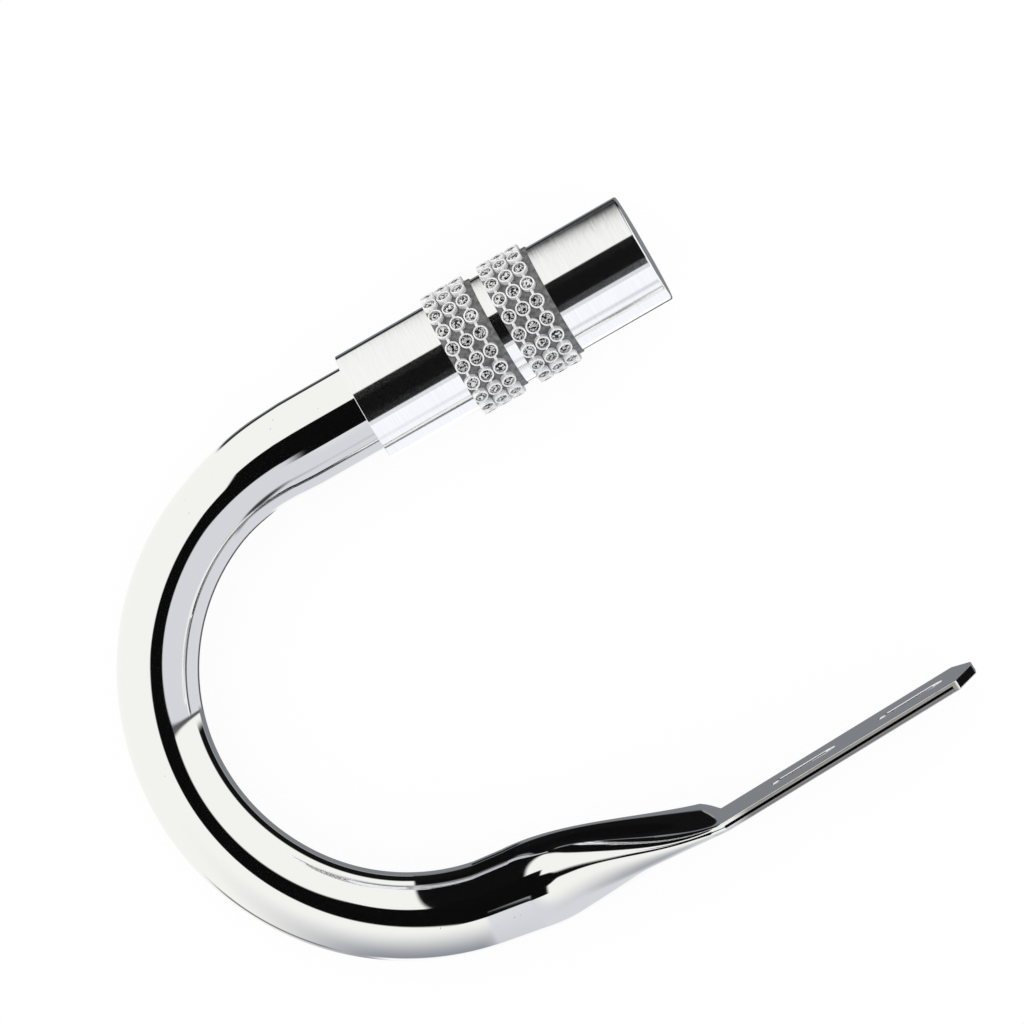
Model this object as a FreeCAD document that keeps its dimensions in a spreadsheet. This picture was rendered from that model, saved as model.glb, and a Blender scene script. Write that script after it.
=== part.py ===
import FreeCAD, Part

import math
import os

import Sketcher
from FreeCAD import Placement, Rotation, Vector

# Curtain holdback: a bent and flattened chrome tube with a brushed barrel finial.
# Millimetres. The wall is the plane y = 0 and the wall's outward side is -Y.
# The origin lies on the plate's back face, midway between the two screw slots.
# The hook lies in the XY plane, its bend towards +X, and is the same above and below it.

OUT = "parts"
SHEET_NAME = "sizes"

# Driving dimensions: alias, value, what it sets.
DIMENSIONS = (
    ("tube_diameter", 22.4, "outside diameter of the round tube"),
    ("tube_wall", 1.25, "wall of the tube"),
    ("oval_thickness", 19.8, "tube across the bend, in the plane of the hook, at its tightest"),
    ("leg_thickness", 21.2, "tube across, in the plane of the hook, where the press begins"),
    ("bend_radius", 59.5, "radius of the bend, to the middle of the tube"),
    ("bend_turn", 181.9, "angle that the bend turns through, in degrees"),
    ("bend_setback", 1.9, "how far the bend stays in front of the wall plane"),
    ("bend_offset", 83.6, "from the origin to the centre of the bend, along the plate"),
    ("mouth_straight", 22.6, "straight tube showing between the bend and the sleeve"),
    ("tube_inserted", 30.0, "straight tube hidden in the sleeve"),
    ("press_length", 46.1, "from the nose of the pressed dome to the edge of the press"),
    ("nose_length", 3.4, "length over which the dome drops to the plate"),
    ("nose_height", 7.6, "height of the dome above the wall plane, where it starts to drop"),
    ("dome_height", 16.9, "height of the dome above the wall plane, at the middle of the press"),
    ("shoulder_height", 21.7, "height of the dome just before the edge of the press"),
    ("anvil_lead", 18.2, "length over which the back of the tube comes down to the wall plane"),
    ("anvil_reach", 8.6, "how far inside the edge of the press the back meets the wall plane"),
    ("side_press", 38.0, "length from the nose over which the tube's sides are pressed down"),
    ("plate_front", 37.5, "from the origin to the dome's nose"),
    ("plate_back", 32.2, "from the origin to the free end of the plate"),
    ("tip_cut_length", 5.2, "length of the cut corners at the free end"),
    ("tip_flat", 7.0, "width left square at the free end"),
    ("tip_rounding", 3.0, "radius that eases the cut corners"),
    ("slot_spacing", 30.0, "between the centres of the screw slots"),
    ("slot_length", 17.8, "overall length of a screw slot"),
    ("slot_width", 5.5, "width of a screw slot"),
    ("bush_wall", 1.3, "wall of the moulded bush between tube and sleeve"),
    ("sleeve_length", 77.1, "length of the finial sleeve"),
    ("sleeve_wall", 1.2, "side wall of the finial sleeve"),
    ("sleeve_end", 1.5, "thickness of the sleeve's closed end"),
    ("sleeve_edge", 0.4, "chamfer round both ends of the sleeve"),
    ("fit_gap", 0.15, "clearance where one piece slides over another"),
    ("bush_length", 26.0, "length of the moulded bush"),
    ("bush_recess", 1.0, "how far the bush sits inside the sleeve's mouth"),
    ("band_width", 12.7, "width of a crystal band's strip"),
    ("first_band", 24.4, "from the sleeve's mouth to the first band"),
    ("band_gap", 2.7, "bare sleeve between the two bands"),
    ("strip_thickness", 0.4, "thickness of a band's strip"),
    ("row_pitch", 3.82, "between neighbouring rows of cups, along the sleeve"),
    ("row_margin", 1.85, "from the strip's mouth edge to the first row of cups"),
    ("cup_diameter", 3.6, "across a cup at its rim"),
    ("cup_height", 1.5, "height of a cup above its strip"),
    ("cup_taper", 0.1, "how much wider a cup is at its foot than at its rim"),
    ("cup_foot", 0.45, "height of the foot that joins a cup to the next in its file"),
    ("link_width", 0.8, "width of the hoops that join the cups round the band"),
    ("stone_diameter", 2.8, "across a crystal at its girdle"),
    ("stone_height", 1.15, "height of a crystal"),
    ("stone_foot", 2.0, "across a crystal's flat underside"),
    ("stone_table", 1.6, "across the table on top of a crystal"),
    ("stone_girdle", 0.55, "height of a crystal's girdle above its underside"),
    ("stone_gap", 0.05, "clearance between a crystal and its cup"),
)
# Radii that follow from the tube: the bush slides over it, and the sleeve over the bush.
BUSH_INNER = "(sizes.tube_diameter / 2 + sizes.fit_gap)"
BUSH_OUTER = "(%s + sizes.bush_wall)" % BUSH_INNER
SLEEVE_INNER = "(%s + sizes.fit_gap)" % BUSH_OUTER
SLEEVE_OUTER = "(%s + sizes.sleeve_wall)" % SLEEVE_INNER
STRIP_OUTER = "(%s + sizes.strip_thickness)" % SLEEVE_OUTER
CUPS_ROUND = 20
ROWS = 3
CUP_SIDES = 8
BAND_NAMES = ("mouth_band", "end_band")

# Points per quarter of a tube section, and stations along the tube.
FLANK_POINTS = 7
BACK_POINTS = 7
STRAIGHT_STATIONS = 2
BEND_STATIONS = 16
PRESS_STATIONS = 10
NOSE_STATIONS = (0.3, 0.65)
# Shares of the bend, from the press to the sleeve, at which the tube's oval comes and goes.
LEG_EASE = 0.27
OVAL_FROM = 0.62
MOUTH_EASE = 0.86
ROUND_FROM = 1.06
# Share of the press, from the nose, at which the dome's shoulder stands.
SHOULDER_SHARE = 0.81
# How quickly the tube's sides and the top of the dome flatten towards the nose.
SIDE_PRESS = 2.0
TOP_PRESS = 1.3
FRONT_RUN = 2
# Fullness of the dome's hump across the plate: higher is narrower.
HUMP_POWER = 1.25
# How near an edge of the plate must be to a place to be taken as the one there.
TOUCH = 0.01
# Angle, from the middle of a flank, at which an oval section passes to its back or front.
FLANK_HALF_ANGLE = math.radians(42)


def make_sheet(doc):
    """Put the driving dimensions in a spreadsheet, one aliased cell each."""
    sheet = doc.addObject("Spreadsheet::Sheet", SHEET_NAME)
    for row, (alias, value, note) in enumerate(DIMENSIONS, start=1):
        sheet.set("A%d" % row, alias)
        sheet.set("B%d" % row, str(value))
        sheet.set("C%d" % row, note)
        sheet.setAlias("B%d" % row, alias)
    doc.recompute()
    return sheet


class Sizes:
    """Reads the sheet, and works out the sizes that follow from it."""

    def __init__(self, sheet):
        for alias, _, _ in DIMENSIONS:
            setattr(self, alias, float(getattr(sheet, alias)))
        self.plate_thickness = 2 * self.tube_wall
        self.cup_floor = self.cup_height - self.stone_height
        self.strip_radius = float(sheet.evalExpression(STRIP_OUTER.replace("sizes.", "")))
        self.bend_centre = Vector(
            self.bend_offset,
            -self.bend_setback - self.leg_thickness / 2 - self.bend_radius,
            0,
        )
        self.turn = math.radians(self.bend_turn)
        self.dome_from = self.plate_front + self.nose_length
        self.press_edge = self.dome_from + self.press_length
        # Where the tube's back leaves the wall plane, and where it joins the bend's circle.
        self.back_from = self.press_edge - self.anvil_reach
        self.back_to = self.back_from + self.anvil_lead
        # The sleeve's mouth, and the way its axis points from there.
        self.sleeve_way = Vector(math.cos(self.turn), -math.sin(self.turn), 0)
        self.bend_end = self.bend_centre + Vector(
            self.bend_radius * math.sin(self.turn),
            self.bend_radius * math.cos(self.turn),
            0,
        )
        self.mouth = self.bend_end + self.sleeve_way * self.mouth_straight


def ease(share):
    """Smooth step from 0 to 1."""
    share = min(max(share, 0.0), 1.0)
    return share * share * (3 - 2 * share)


def oval_points(height, width):
    """Four runs of (height, z) points round an oval: back, flank, front, flank."""
    turns = (-math.pi + FLANK_HALF_ANGLE, -FLANK_HALF_ANGLE, FLANK_HALF_ANGLE)
    turns = turns + (math.pi - FLANK_HALF_ANGLE, math.pi + FLANK_HALF_ANGLE)
    counts = (BACK_POINTS, FLANK_POINTS, BACK_POINTS, FLANK_POINTS)
    runs = []
    for start, stop, count in zip(turns, turns[1:], counts):
        run = []
        for step in range(count):
            angle = start + (stop - start) * step / (count - 1)
            run.append((height / 2 * (1 + math.sin(angle)), width / 2 * math.cos(angle)))
        runs.append(run)
    return runs


def flat_points(thickness, width, rise):
    """The same four runs round a flattened tube with a dome of the given rise."""
    radius = thickness / 2
    reach = width / 2 - radius
    runs = [[], [], [], []]
    for step in range(BACK_POINTS):
        share = -1 + 2 * step / (BACK_POINTS - 1)
        hump = (1 - share * share) ** HUMP_POWER
        runs[0].append((0.0, share * reach))
        runs[2].append((thickness + rise * hump, -share * reach))
    for step in range(FLANK_POINTS):
        angle = -math.pi / 2 + math.pi * step / (FLANK_POINTS - 1)
        across = reach + radius * math.cos(angle)
        runs[1].append((radius * (1 + math.sin(angle)), across))
        runs[3].append((radius * (1 - math.sin(angle)), -across))
    return runs


def blend(first, second, side, top):
    """Mix two sections point by point, by one share at back and sides and another on top."""
    mixed = []
    for number, (run_a, run_b) in enumerate(zip(first, second)):
        run = []
        for step, (a, b) in enumerate(zip(run_a, run_b)):
            across = 2 * step / (len(run_a) - 1) - 1
            share = top + (side - top) * across * across if number == FRONT_RUN else side
            run.append((a[0] + (b[0] - a[0]) * share, a[1] + (b[1] - a[1]) * share))
        mixed.append(run)
    return mixed


def run_length(runs):
    """Length round a section."""
    total = 0.0
    for run in runs:
        for a, b in zip(run, run[1:]):
            total += math.hypot(a[0] - b[0], a[1] - b[1])
    return total


def fit_girth(make, girth):
    """Find the width at which a section keeps the girth of the tube."""
    low, high = 0.2 * girth, 0.6 * girth
    for _ in range(40):
        middle = (low + high) / 2
        if run_length(make(middle)) < girth:
            low = middle
        else:
            high = middle
    return make((low + high) / 2)


def bend_thickness(sizes, share):
    """Thickness of the tube in the plane of the bend; share runs from press to mouth."""
    if share < MOUTH_EASE:
        mix = ease((share - LEG_EASE) / (OVAL_FROM - LEG_EASE))
        return sizes.leg_thickness + (sizes.oval_thickness - sizes.leg_thickness) * mix
    mix = ease((share - MOUTH_EASE) / (ROUND_FROM - MOUTH_EASE))
    return sizes.oval_thickness + (sizes.tube_diameter - sizes.oval_thickness) * mix


def back_line(sizes, x):
    """How far the tube's back is from the wall plane, at x along the pressed stretch."""
    if x <= sizes.back_from:
        return 0.0
    outer = sizes.bend_radius + sizes.leg_thickness / 2
    run = sizes.back_to - sizes.bend_centre.x
    drop = math.sqrt(outer * outer - run * run)
    depth = -sizes.bend_centre.y - drop
    share = (x - sizes.back_from) / sizes.anvil_lead
    to_depth = share * share * (3 - 2 * share)
    to_slope = share * share * (share - 1)
    return depth * to_depth + run / drop * sizes.anvil_lead * to_slope


def front_line(sizes, x):
    """Height of the pressed dome above the wall plane, at x."""
    if x <= sizes.dome_from:
        share = math.sqrt(max(x - sizes.plate_front, 0.0) / sizes.nose_length)
        return sizes.plate_thickness + (sizes.nose_height - sizes.plate_thickness) * share
    inner = sizes.bend_radius - sizes.leg_thickness / 2
    edge_height = -sizes.bend_centre.y - math.sqrt(
        inner * inner - (sizes.press_edge - sizes.bend_centre.x) ** 2
    )
    knots = (
        (sizes.dome_from, sizes.nose_height),
        (sizes.dome_from + sizes.press_length / 2, sizes.dome_height),
        (sizes.dome_from + sizes.press_length * SHOULDER_SHARE, sizes.shoulder_height),
        (sizes.press_edge, edge_height),
    )
    # One smooth curve through the dome's four heights.
    height = 0.0
    for x_knot, h_knot in knots:
        weight = 1.0
        for x_other, _ in knots:
            if x_other != x_knot:
                weight *= (x - x_other) / (x_knot - x_other)
        height += h_knot * weight
    return height


def place_section(runs, origin, along_height):
    """Turn (height, z) points into points in space."""
    return [[origin + along_height * h + Vector(0, 0, z) for h, z in run] for run in runs]


def tube_sections(sizes, inset):
    """Sections of the tube from the sleeve's mouth to the plate, each four runs of points.

    inset is 0 for the outside and the wall thickness for the bore.
    """
    bore = sizes.tube_diameter - 2 * inset
    girth = run_length(oval_points(bore, bore))
    sections = []

    def oval_station(point, heights, thickness):
        thickness = thickness - 2 * inset
        runs = fit_girth(lambda width: oval_points(thickness, width), girth)
        sections.append(place_section(runs, point - heights * (thickness / 2), heights))

    inward = Vector(sizes.sleeve_way.y, -sizes.sleeve_way.x, 0)
    for step in range(STRAIGHT_STATIONS):
        point = sizes.mouth - sizes.sleeve_way * (sizes.mouth_straight * step / STRAIGHT_STATIONS)
        oval_station(point, inward, sizes.tube_diameter)
    last_angle = math.asin((sizes.back_to - sizes.bend_centre.x) / sizes.bend_radius)
    for step in range(BEND_STATIONS + 1):
        share = 1 - step / BEND_STATIONS
        angle = last_angle + (sizes.turn - last_angle) * share
        outward = Vector(math.sin(angle), math.cos(angle), 0)
        point = sizes.bend_centre + outward * sizes.bend_radius
        oval_station(point, -outward, bend_thickness(sizes, share))
    sections.extend(press_sections(sizes, inset, girth))
    return sections


def press_sections(sizes, inset, girth):
    """Sections square to the plate, from the press edge to the nose of the dome."""
    stations = []
    for step in range(PRESS_STATIONS + 1, -1, -1):
        stations.append(sizes.dome_from + sizes.press_length * step / (PRESS_STATIONS + 1))
    for share in reversed(NOSE_STATIONS):
        stations.append(sizes.plate_front + sizes.nose_length * share)
    stations.append(sizes.plate_front)
    thickness = max(sizes.plate_thickness - 2 * inset, 0.0)
    sections = []
    for x in stations:
        back = back_line(sizes, x)
        height = front_line(sizes, x) - back - 2 * inset
        side = max(1 - (x - sizes.plate_front) / sizes.side_press, 0.0) ** SIDE_PRESS
        along = ease((x - sizes.plate_front) / (sizes.press_edge - sizes.plate_front))
        runs = fit_girth(
            lambda width: blend(
                oval_points(height, width),
                flat_points(thickness, width, height - thickness),
                side,
                1 - along ** TOP_PRESS,
            ),
            girth,
        )
        sections.append(place_section(runs, Vector(x, -back - inset, 0), Vector(0, -1, 0)))
    return sections


def smooth_edge(run):
    """One smooth edge through a run of points, all runs with the same parameters."""
    last = len(run) - 1
    curve = Part.BSplineCurve()
    curve.interpolate(Points=run, Parameters=[step / last for step in range(last + 1)])
    return curve.toShape()


def section_wire(runs):
    """A closed wire of four smooth edges."""
    return Part.Wire([smooth_edge(run) for run in runs])


def plate_wire(runs):
    """The plate's section: straight back and front, with the same flanks as the tube's."""
    back, flank, front, far_flank = runs
    return Part.Wire([
        Part.LineSegment(back[0], back[-1]).toShape(),
        smooth_edge(flank),
        Part.LineSegment(front[0], front[-1]).toShape(),
        smooth_edge(far_flank),
    ])


def tube_blank(sizes):
    """The bent and flattened tube, before its plate is punched."""
    outer = tube_sections(sizes, 0)
    bore = tube_sections(sizes, sizes.tube_wall)[: -len(NOSE_STATIONS) - 1]
    inserted = sizes.sleeve_way * sizes.tube_inserted
    plate = Vector(-sizes.plate_front - sizes.plate_back, 0, 0)
    parts = []
    for sections in (outer, bore):
        wires = [section_wire(runs) for runs in sections]
        bent = Part.makeLoft(wires, True, False)
        parts.append(bent.fuse(Part.Face(wires[0]).extrude(inserted)))
    shell, hollow = parts
    return shell.fuse(Part.Face(plate_wire(outer[-1])).extrude(plate)).cut(hollow)


def plane_of(body, role):
    """One of a body's own origin planes."""
    for feature in body.Origin.OriginFeatures:
        if feature.Role == role:
            return feature
    raise RuntimeError("no plane " + role)


def new_body(doc, label):
    body = doc.addObject("PartDesign::Body", label)
    body.Label = label
    return body


def new_sketch(body, name):
    """An empty sketch on the body's XZ plane: across is X, up is Z."""
    sketch = body.newObject("Sketcher::SketchObject", name)
    sketch.AttachmentSupport = [(plane_of(body, "XZ_Plane"), "")]
    sketch.MapMode = "FlatFace"
    return sketch


def bind_point(sketch, geometry, end, across, up):
    """Tie one end of a sketch line or arc to two expressions of the sheet."""
    for kind, axis, text in (("DistanceX", -2, across), ("DistanceY", -1, up)):
        value = sketch.evalExpression(text)
        value = float(getattr(value, "Value", value))
        if value == 0:
            sketch.addConstraint(Sketcher.Constraint("PointOnObject", geometry, end, axis))
        elif value > 0:
            index = sketch.addConstraint(
                Sketcher.Constraint(kind, -1, 1, geometry, end, value)
            )
            sketch.setExpression("Constraints[%d]" % index, text)
        else:
            index = sketch.addConstraint(
                Sketcher.Constraint(kind, geometry, end, -1, 1, -value)
            )
            sketch.setExpression("Constraints[%d]" % index, "-(%s)" % text)


def draw_outline(sketch, corners):
    """A closed outline of straight lines through corners given as pairs of expressions."""
    points = []
    for across, up in corners:
        pair = [sketch.evalExpression(text) for text in (across, up)]
        points.append(Vector(*[float(getattr(v, "Value", v)) for v in pair], 0))
    first = sketch.GeometryCount
    count = len(points)
    for index, point in enumerate(points):
        sketch.addGeometry(Part.LineSegment(point, points[(index + 1) % count]), False)
    for index in range(count):
        following = first + (index + 1) % count
        sketch.addConstraint(Sketcher.Constraint("Coincident", first + index, 2, following, 1))
    for index, (across, up) in enumerate(corners):
        bind_point(sketch, first + index, 1, across, up)


def draw_slot(sketch, centre, length, width):
    """A round-ended slot along X; its centre, length and width are expressions."""
    reach = "((%s) - (%s)) / 2" % (length, width)
    middle = float(sketch.evalExpression(centre))
    half = float(sketch.evalExpression(reach))
    radius = float(sketch.evalExpression(width)) / 2
    first = sketch.GeometryCount
    up = Vector(0, 0, 1)
    quarter = math.pi / 2
    right = Part.Circle(Vector(middle + half, 0, 0), up, radius)
    left = Part.Circle(Vector(middle - half, 0, 0), up, radius)
    sketch.addGeometry(Part.ArcOfCircle(right, -quarter, quarter), False)
    sketch.addGeometry(Part.ArcOfCircle(left, quarter, 3 * quarter), False)
    for side in (1, -1):
        start = Vector(middle - half, side * radius, 0)
        stop = Vector(middle + half, side * radius, 0)
        sketch.addGeometry(Part.LineSegment(start, stop), False)
    joins = ((0, 2, 2, 2), (0, 1, 3, 2), (1, 1, 2, 1), (1, 2, 3, 1))
    for arc, arc_end, line, line_end in joins:
        sketch.addConstraint(
            Sketcher.Constraint("Tangent", first + arc, arc_end, first + line, line_end)
        )
    index = sketch.addConstraint(Sketcher.Constraint("Radius", first, radius))
    sketch.setExpression("Constraints[%d]" % index, "(%s) / 2" % width)
    bind_point(sketch, first, 3, "(%s) + %s" % (centre, reach), "0")
    bind_point(sketch, first + 1, 3, "(%s) - %s" % (centre, reach), "0")


def cut_through_plate(body, sketch):
    """Pocket a sketch through the plate, to both sides of the wall plane."""
    pocket = body.newObject("PartDesign::Pocket", sketch.Name + "_cut")
    pocket.Profile = sketch
    pocket.Type = "Length"
    pocket.Midplane = True
    pocket.setExpression("Length", "8 * sizes.tube_wall")
    return pocket


def make_hook_tube(doc, sizes):
    """The tube, with two slots punched in its plate and its free corners cut."""
    blank = doc.addObject("Part::Feature", "tube_blank")
    blank.Shape = tube_blank(sizes)
    body = new_body(doc, "hook_tube")
    body.BaseFeature = blank
    doc.recompute()
    slots = new_sketch(body, "screw_slots")
    for side in ("-1", "1"):
        draw_slot(
            slots, side + " * sizes.slot_spacing / 2", "sizes.slot_length", "sizes.slot_width",
        )
    cut_through_plate(body, slots)
    corners = new_sketch(body, "cut_corners")
    half_width = "(pi * (sizes.tube_diameter - 2 * sizes.tube_wall) / 4 + sizes.tube_wall)"
    beyond = "(%s + 2)" % half_width
    tip = "-sizes.plate_back"
    outside = "(-sizes.plate_back - 2)"
    inside = "(-sizes.plate_back + sizes.tip_cut_length)"
    for side in ("", "-"):
        draw_outline(corners, (
            (tip, side + "sizes.tip_flat / 2"),
            (inside, side + half_width),
            (inside, side + beyond),
            (outside, side + beyond),
            (outside, side + "sizes.tip_flat / 2"),
        ))
    doc.recompute()
    cut = cut_through_plate(body, corners)
    doc.recompute()
    ease_corners = body.newObject("PartDesign::Fillet", "eased_corners")
    ease_corners.Base = (cut, tip_edges(cut.Shape, sizes))
    ease_corners.setExpression("Radius", "sizes.tip_rounding")
    body.Tip = ease_corners
    doc.recompute()
    return body


def tip_edges(shape, sizes):
    """Names of the two edges through the plate where the cut corners meet its end."""
    names = []
    for number, edge in enumerate(shape.Edges, start=1):
        box = edge.BoundBox
        at_end = abs(box.XMax + sizes.plate_back) < TOUCH
        at_corner = abs(abs(box.Center.z) - sizes.tip_flat / 2) < TOUCH
        if at_end and at_corner and box.ZLength < TOUCH and box.XLength < TOUCH:
            names.append("Edge%d" % number)
    return names


def turned_body(doc, label, corners, place):
    """A body turned about its own Z axis from an outline of expressions."""
    body = new_body(doc, label)
    sketch = new_sketch(body, label + "_profile")
    draw_outline(sketch, corners)
    turn = body.newObject("PartDesign::Revolution", label + "_turned")
    turn.Profile = sketch
    turn.ReferenceAxis = (sketch, ["V_Axis"])
    turn.Angle = 360
    body.Tip = turn
    body.Placement = place
    doc.recompute()
    return body


def make_sleeve(doc, place):
    """The barrel of the finial: a tube closed at its far end, chamfered at both rims."""
    inner = SLEEVE_INNER
    outer = SLEEVE_OUTER
    eased = "(%s - sizes.sleeve_edge)" % SLEEVE_OUTER
    far = "sizes.sleeve_length"
    floor = "(sizes.sleeve_length - sizes.sleeve_end)"
    return turned_body(doc, "finial_sleeve", (
        (inner, "0"),
        (eased, "0"),
        (outer, "sizes.sleeve_edge"),
        (outer, "(%s - sizes.sleeve_edge)" % far),
        (eased, far),
        ("0", far),
        ("0", floor),
        (inner, floor),
    ), place)


def make_ring(doc, label, inner, outer, start, stop, place):
    """A plain ring between two radii and two heights, all expressions."""
    corners = ((inner, start), (outer, start), (outer, stop), (inner, stop))
    return turned_body(doc, label, corners, place)


def octagon(across, height):
    """Corners of an octagon with flats across the given width, square to Z."""
    reach = across / 2 / math.cos(math.pi / CUP_SIDES)
    points = []
    for side in range(CUP_SIDES):
        angle = 2 * math.pi * (side + 0.5) / CUP_SIDES
        points.append(Vector(reach * math.cos(angle), reach * math.sin(angle), height))
    return points


def flat_face(points):
    return Part.Face(Part.makePolygon(points + points[:1]))


def stacked(*levels):
    """A faceted solid through octagons given as (across, height), with flat facets."""
    rings = [octagon(across, height) for across, height in levels]
    faces = [flat_face(rings[0]), flat_face(rings[-1])]
    for lower, upper in zip(rings, rings[1:]):
        for side in range(CUP_SIDES):
            after = (side + 1) % CUP_SIDES
            faces.append(flat_face([lower[side], lower[after], upper[after], upper[side]]))
    solid = Part.makeSolid(Part.makeShell(faces))
    solid.fixTolerance(1e-7)
    if solid.Volume < 0:
        solid.reverse()
    return solid


def make_cup(sizes):
    """One cup of the setting: a foot, a tapered wall and a socket for its crystal."""
    foot = stacked((sizes.row_pitch, 0), (sizes.row_pitch, sizes.cup_foot))
    wall = stacked(
        (sizes.cup_diameter + sizes.cup_taper, sizes.cup_foot),
        (sizes.cup_diameter, sizes.cup_height),
    )
    bore = sizes.stone_diameter + 2 * sizes.stone_gap
    socket = stacked(
        (bore, sizes.cup_floor),
        (bore, sizes.cup_height + sizes.stone_height),
    )
    return foot.fuse(wall).cut(socket).removeSplitter()


def make_stone(sizes):
    """One crystal: a flat foot, a girdle and a crown cut down to its table."""
    return stacked(
        (sizes.stone_foot, sizes.cup_floor),
        (sizes.stone_diameter, sizes.cup_floor + sizes.stone_girdle),
        (sizes.stone_table, sizes.cup_height),
    )


def round_the_band(sizes, piece):
    """Copies of a piece on every seat of a band, standing on its strip."""
    copies = []
    for row in range(ROWS):
        along = sizes.row_margin + row * sizes.row_pitch
        for seat in range(CUPS_ROUND):
            angle = 360.0 * (seat + 0.5) / CUPS_ROUND
            # The piece's foot turns from facing -Z to facing the sleeve's axis.
            foot = Vector(sizes.strip_radius, 0, along)
            lay = Placement(foot, Rotation(Vector(0, 1, 0), 90))
            spin = Placement(Vector(), Rotation(Vector(0, 0, 1), angle))
            copy = piece.copy()
            copy.Placement = spin.multiply(lay)
            copies.append(copy)
    return copies


def make_hoops(sizes):
    """Thin hoops that join the cups of each row round the sleeve."""
    inner = sizes.strip_radius
    outer = inner + sizes.cup_floor
    hoops = []
    for row in range(ROWS):
        along = sizes.row_margin + row * sizes.row_pitch
        base = Vector(0, 0, along - sizes.link_width / 2)
        rim = Part.makeCylinder(outer, sizes.link_width, base)
        hoops.append(rim.cut(Part.makeCylinder(inner, sizes.link_width, base)))
    return hoops


def add_feature(doc, label, shape, place):
    feature = doc.addObject("Part::Feature", label)
    feature.Label = label
    feature.Shape = shape
    feature.Placement = place
    return feature


def make_bands(doc, sizes, place):
    """The crystal bands, all alike: a strip, a moulded setting and its crystals."""
    hoops = make_hoops(sizes)
    setting = hoops[0].multiFuse(hoops[1:] + round_the_band(sizes, make_cup(sizes)))
    stones = Part.makeCompound(round_the_band(sizes, make_stone(sizes)))
    pieces = []
    for number, name in enumerate(BAND_NAMES):
        start = sizes.first_band + number * (sizes.band_width + sizes.band_gap)
        seat = place.multiply(Placement(Vector(0, 0, start), Rotation()))
        pieces.append(make_ring(
            doc, name + "_strip", SLEEVE_OUTER, STRIP_OUTER, "0", "sizes.band_width", seat,
        ))
        pieces.append(add_feature(doc, name + "_setting", setting.copy(), seat))
        pieces.append(add_feature(doc, name + "_crystals", stones.copy(), seat))
    return pieces


def build(doc):
    """Make every sub-part of the holdback."""
    sizes = Sizes(make_sheet(doc))
    # Sleeve pieces are drawn along Z from the mouth, then laid along the sleeve's axis;
    # the turn about that axis brings their X axis to the hook's upward normal.
    place = Placement(sizes.mouth, sleeve_rotation(sizes))
    pieces = [make_hook_tube(doc, sizes), make_sleeve(doc, place)]
    pieces.append(make_ring(
        doc, "adaptor_bush", BUSH_INNER, BUSH_OUTER,
        "sizes.bush_recess", "(sizes.bush_recess + sizes.bush_length)", place,
    ))
    pieces.extend(make_bands(doc, sizes, place))
    return pieces


def sleeve_rotation(sizes):
    """Turns Z onto the sleeve's axis and X onto the hook's upward normal."""
    up = Vector(0, 0, 1)
    return Rotation(up, sizes.sleeve_way.cross(up), sizes.sleeve_way, "ZXY")


def check(doc, pieces):
    """Stop if any object failed or any piece has no sound shape."""
    doc.recompute()
    for item in doc.Objects:
        if "Invalid" in item.State or "Error" in item.State:
            raise RuntimeError("%s failed: %s" % (item.Name, item.State))
    for piece in pieces:
        if piece.Shape.isNull() or not piece.Shape.isValid():
            raise RuntimeError("%s has no sound shape" % piece.Label)


def main():
    doc = FreeCAD.newDocument("holdback")
    pieces = build(doc)
    check(doc, pieces)
    os.makedirs(OUT, exist_ok=True)
    for piece in pieces:
        piece.Shape.exportStep(os.path.join(OUT, piece.Label + ".step"))
        print("%-20s %3d solids %10.1f mm3" % (
            piece.Label, len(piece.Shape.Solids), piece.Shape.Volume))


main()
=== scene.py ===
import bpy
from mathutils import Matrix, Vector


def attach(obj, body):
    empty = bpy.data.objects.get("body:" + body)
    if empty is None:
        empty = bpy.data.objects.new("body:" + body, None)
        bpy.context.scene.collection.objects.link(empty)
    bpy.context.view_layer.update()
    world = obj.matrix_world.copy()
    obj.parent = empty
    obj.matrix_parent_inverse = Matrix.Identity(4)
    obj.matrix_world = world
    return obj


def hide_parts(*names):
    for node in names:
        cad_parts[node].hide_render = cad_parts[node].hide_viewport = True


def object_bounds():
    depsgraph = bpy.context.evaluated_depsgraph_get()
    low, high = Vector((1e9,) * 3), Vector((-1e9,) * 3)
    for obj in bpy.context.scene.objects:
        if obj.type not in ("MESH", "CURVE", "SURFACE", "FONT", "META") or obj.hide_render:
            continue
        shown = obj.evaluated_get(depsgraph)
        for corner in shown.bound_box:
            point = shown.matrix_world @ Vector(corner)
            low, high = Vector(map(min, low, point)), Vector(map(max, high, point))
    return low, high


bl_info = {
    "name": "Curtain holdback",
    "version": (1, 0, 0),
    "blender": (4, 5, 0),
    "location": "View3D > Sidebar > Holdback",
    "description": "Builds the looks of a chrome curtain holdback round its packed parts",
    "category": "Add Mesh",
}

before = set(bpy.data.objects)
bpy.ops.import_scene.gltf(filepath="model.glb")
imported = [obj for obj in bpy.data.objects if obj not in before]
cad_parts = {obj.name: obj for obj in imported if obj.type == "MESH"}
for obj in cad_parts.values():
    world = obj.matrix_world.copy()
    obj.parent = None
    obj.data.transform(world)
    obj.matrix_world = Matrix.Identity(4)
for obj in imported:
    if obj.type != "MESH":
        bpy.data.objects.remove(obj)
cad_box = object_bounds()

import math

import bmesh
import bpy
import numpy as np
from mathutils import Matrix, Vector

# Metres, in the frame's axes: the wall is the plane y = 0 and the arm reaches to -Y.
# The hook lies in the XY plane with its bend towards +X.

BODY = "root"
PHOTO_PIXELS = 1024
SENSOR = 36.0
MILLIMETRE = 0.001

# Points in each of the four runs round a tube section, and stations along the tube.
RUN_POINTS = 26
STRAIGHT_STATIONS = 10
BEND_STATIONS = 150
PRESS_STATIONS = 90
NOSE_SHARES = (0.85, 0.7, 0.55, 0.4, 0.28, 0.18, 0.1, 0.04, 0.0)
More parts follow.
